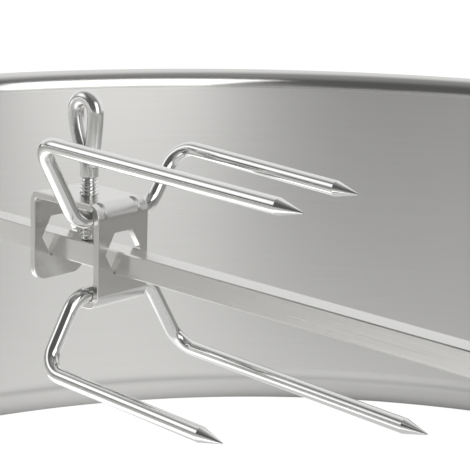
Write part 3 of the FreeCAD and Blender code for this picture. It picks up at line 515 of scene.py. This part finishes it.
def thumb_screw_look(node, body, toward_x, material):
    """Rolled thread, plain shank and the rod's end bent round into an eye."""
    low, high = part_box(node)
    axis_x = high[0] - EYE_ROD - EYE_NEAR if toward_x > 0 else low[0] + EYE_ROD + EYE_NEAR
    tip = low[2]
    stem = helical_stem(axis_x, tip + THREAD_LOW, tip + THREAD_HIGH, tip + SHANK_HIGH)
    crown_r = (high[0] - low[0] - 2 * EYE_ROD) / 2
    eye_z = high[2] - EYE_ROD - crown_r
    foot_z = tip + EYE_FOOT
    centre_u = (EYE_NEAR - EYE_FAR) / 2

    def strand(side_u, start_u):
        """Bulging side of the eye from the stem to its widest place."""
        points = []
        for i in range(EYE_STEPS + 1):
            part = i / EYE_STEPS
            swell = math.sin(part * math.pi / 2) ** EYE_SWELL
            points.append((start_u + (side_u - start_u) * swell, foot_z + (eye_z - foot_z) * part))
        return points

    right = strand(EYE_NEAR, EYE_APART)
    crown = [(centre_u + crown_r * math.cos(a), eye_z + crown_r * math.sin(a))
             for a in (math.pi * i / EYE_STEPS for i in range(1, EYE_STEPS))]
    left = strand(-EYE_FAR, -EYE_APART)[::-1]
    line = [Vector((axis_x + toward_x * u, 0, z)) for u, z in right + crown + left]
    eye = tube_along(line, EYE_ROD, Vector((0, 1, 0)))
    for name, rings in ((node + "_stem", stem), (node + "_eye", eye)):
        vertices, faces = skin(rings)
        piece = solid_from(name, vertices, faces)
        piece.data.shade_smooth()
        piece.data.materials.append(material)
        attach(piece, body)
        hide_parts(node)


# ---------------------------------------------------------------- studio
def seen_or_reflected(nodes, links, output, seen, reflected):
    """One shader for the camera, another for every other ray."""
    path = nodes.new("ShaderNodeLightPath")
    mix = nodes.new("ShaderNodeMixShader")
    links.new(path.outputs["Is Camera Ray"], mix.inputs[0])
    links.new(reflected, mix.inputs[1])
    links.new(seen, mix.inputs[2])
    links.new(mix.outputs[0], output.inputs["Surface"])


def facing(nodes, links, x, y, degrees):
    """How far a flat direction or place lies towards an azimuth."""
    angle = math.radians(degrees)
    along_x = math_node(nodes, links, "MULTIPLY", x, math.cos(angle))
    along_y = math_node(nodes, links, "MULTIPLY", y, math.sin(angle))
    return math_node(nodes, links, "ADD", along_x, along_y)


def stage_floor():
    """White to the camera; the metal reflects it lit on two sides and shaded by the wall's foot."""
    bpy.ops.mesh.primitive_plane_add(size=FLOOR_SIZE, location=(0, 0, 0))
    floor = bpy.context.object
    floor.name = "floor"
    material, nodes, links, shader = new_material("floor_white")
    shader.inputs["Base Color"].default_value = (FLOOR_DIFFUSE, FLOOR_DIFFUSE, FLOOR_DIFFUSE, 1)
    shader.inputs["Roughness"].default_value = FLOOR_ROUGH
    shader.inputs["Specular IOR Level"].default_value = 0.0
    shader.inputs["Emission Color"].default_value = (1, 1, 1, 1)
    shader.inputs["Emission Strength"].default_value = FLOOR_GLOW
    _, (x, y, _) = position(nodes, links)
    lit_side = ramp(nodes, links, facing(nodes, links, x, y, FLOOR_LIT_DEG), FLOOR_DARK, FLOOR_LIT,
                    *FLOOR_SPREAD)
    near_side = ramp(nodes, links, facing(nodes, links, x, y, FLOOR_NEAR_DEG), 0.0, FLOOR_NEAR,
                     *FLOOR_NEAR_SPREAD)
    x_squared = math_node(nodes, links, "MULTIPLY", x, x)
    y_squared = math_node(nodes, links, "MULTIPLY", y, y)
    from_axis = math_node(nodes, links, "SQRT", math_node(nodes, links, "ADD", x_squared, y_squared))
    foot_shade = math_node(nodes, links, "MAXIMUM",
                           ramp(nodes, links, from_axis, 1.0, FLOOR_SHADE, *FLOOR_SHADE_IN),
                           ramp(nodes, links, from_axis, FLOOR_SHADE, 1.0, *FLOOR_SHADE_OUT))
    glow = nodes.new("ShaderNodeEmission")
    total = math_node(nodes, links, "ADD", lit_side, near_side)
    links.new(math_node(nodes, links, "MULTIPLY", total, foot_shade), glow.inputs["Strength"])
    seen_or_reflected(nodes, links, nodes["Material Output"], shader.outputs[0], glow.outputs[0])
    floor.data.materials.append(material)


def side_lamp():
    light = bpy.data.lights.new("side", "AREA")
    light.shape = "RECTANGLE"
    light.size = LAMP_WIDE
    light.size_y = LAMP_LONG
    light.energy = LAMP_WATTS
    lamp = bpy.data.objects.new("side", light)
    bpy.context.collection.objects.link(lamp)
    lamp.location = LAMP_AT
    lamp.rotation_euler = (Vector(LAMP_AIM) - Vector(LAMP_AT)).to_track_quat("-Z", "Y").to_euler()


def studio_world():
    """White to the camera; the metal reflects a dim room, a backdrop, two soft boxes and a ceiling."""
    world = bpy.data.worlds.new("studio")
    bpy.context.scene.world = world
    world.use_nodes = True
    nodes, links = world.node_tree.nodes, world.node_tree.links
    room = nodes["Background"]
    room.inputs["Color"].default_value = (1, 1, 1, 1)
    coordinates = nodes.new("ShaderNodeTexCoord")
    split = nodes.new("ShaderNodeSeparateXYZ")
    links.new(coordinates.outputs["Generated"], split.inputs[0])
    x, y, z = split.outputs
    backdrop = ramp(nodes, links, facing(nodes, links, x, y, BACKDROP_DEG), 0.0, BACKDROP, *BACKDROP_SPREAD)
    side_box = ramp(nodes, links, facing(nodes, links, x, y, SIDE_BOX_DEG), 0.0, SIDE_BOX, *SIDE_BOX_SPREAD)
    up = math.radians(SOFTBOX_UP)
    level = math_node(nodes, links, "MULTIPLY", facing(nodes, links, x, y, SOFTBOX_DEG), math.cos(up))
    towards = math_node(nodes, links, "ADD", level, math_node(nodes, links, "MULTIPLY", z, math.sin(up)))
    softbox = ramp(nodes, links, towards, 0.0, SOFTBOX, *SOFTBOX_SPREAD)
    walls = math_node(nodes, links, "ADD", backdrop, side_box)
    overhead = ramp(nodes, links, z, ROOM, OVERHEAD, *OVERHEAD_SPREAD)
    lit = math_node(nodes, links, "MAXIMUM", walls, overhead)
    total = math_node(nodes, links, "MAXIMUM", lit, softbox)
    links.new(total, room.inputs["Strength"])
    seen = nodes.new("ShaderNodeBackground")
    seen.inputs["Color"].default_value = (1, 1, 1, 1)
    seen.inputs["Strength"].default_value = 1.0
    seen_or_reflected(nodes, links, nodes["World Output"], seen.outputs[0], room.outputs[0])


def camera():
    yaw, pitch, roll = (math.radians(a) for a in (CAMERA_YAW, CAMERA_PITCH, CAMERA_ROLL))
    ahead = Vector((math.cos(yaw) * math.cos(pitch), math.sin(yaw) * math.cos(pitch), -math.sin(pitch)))
    level = ahead.cross(Vector((0, 0, 1))).normalized()
    upright = level.cross(ahead)
    right = level * math.cos(roll) + upright * math.sin(roll)
    up = upright * math.cos(roll) - level * math.sin(roll)
    data = bpy.data.cameras.new("camera")
    data.lens = LENS_MM
    data.sensor_width = SENSOR_MM
    data.clip_start = CAMERA_CLIP
    eye = bpy.data.objects.new("camera", data)
    bpy.context.collection.objects.link(eye)
    turn = Matrix((right, up, -ahead)).transposed().to_4x4()
    x, y, z = CAMERA_FROM_AXIS
    eye.matrix_world = Matrix.Translation((x, y, SPIT_Z + z)) @ turn
    bpy.context.scene.camera = eye


finishes = dress_nodes()
# painted highlight on the fork's crimps
paint_crimp_highlights(finishes["fork_sheet"])
ring_look(finishes["brushed_band"])
thumb_screw_look("fork_a_thumb_screw", "screw_a", 1, finishes["screw_steel"])
thumb_screw_look("fork_b_thumb_screw", "screw_b", -1, finishes["screw_steel"])
stage_floor()
studio_world()
side_lamp()
camera()
bpy.context.scene.view_settings.view_transform = "Standard"
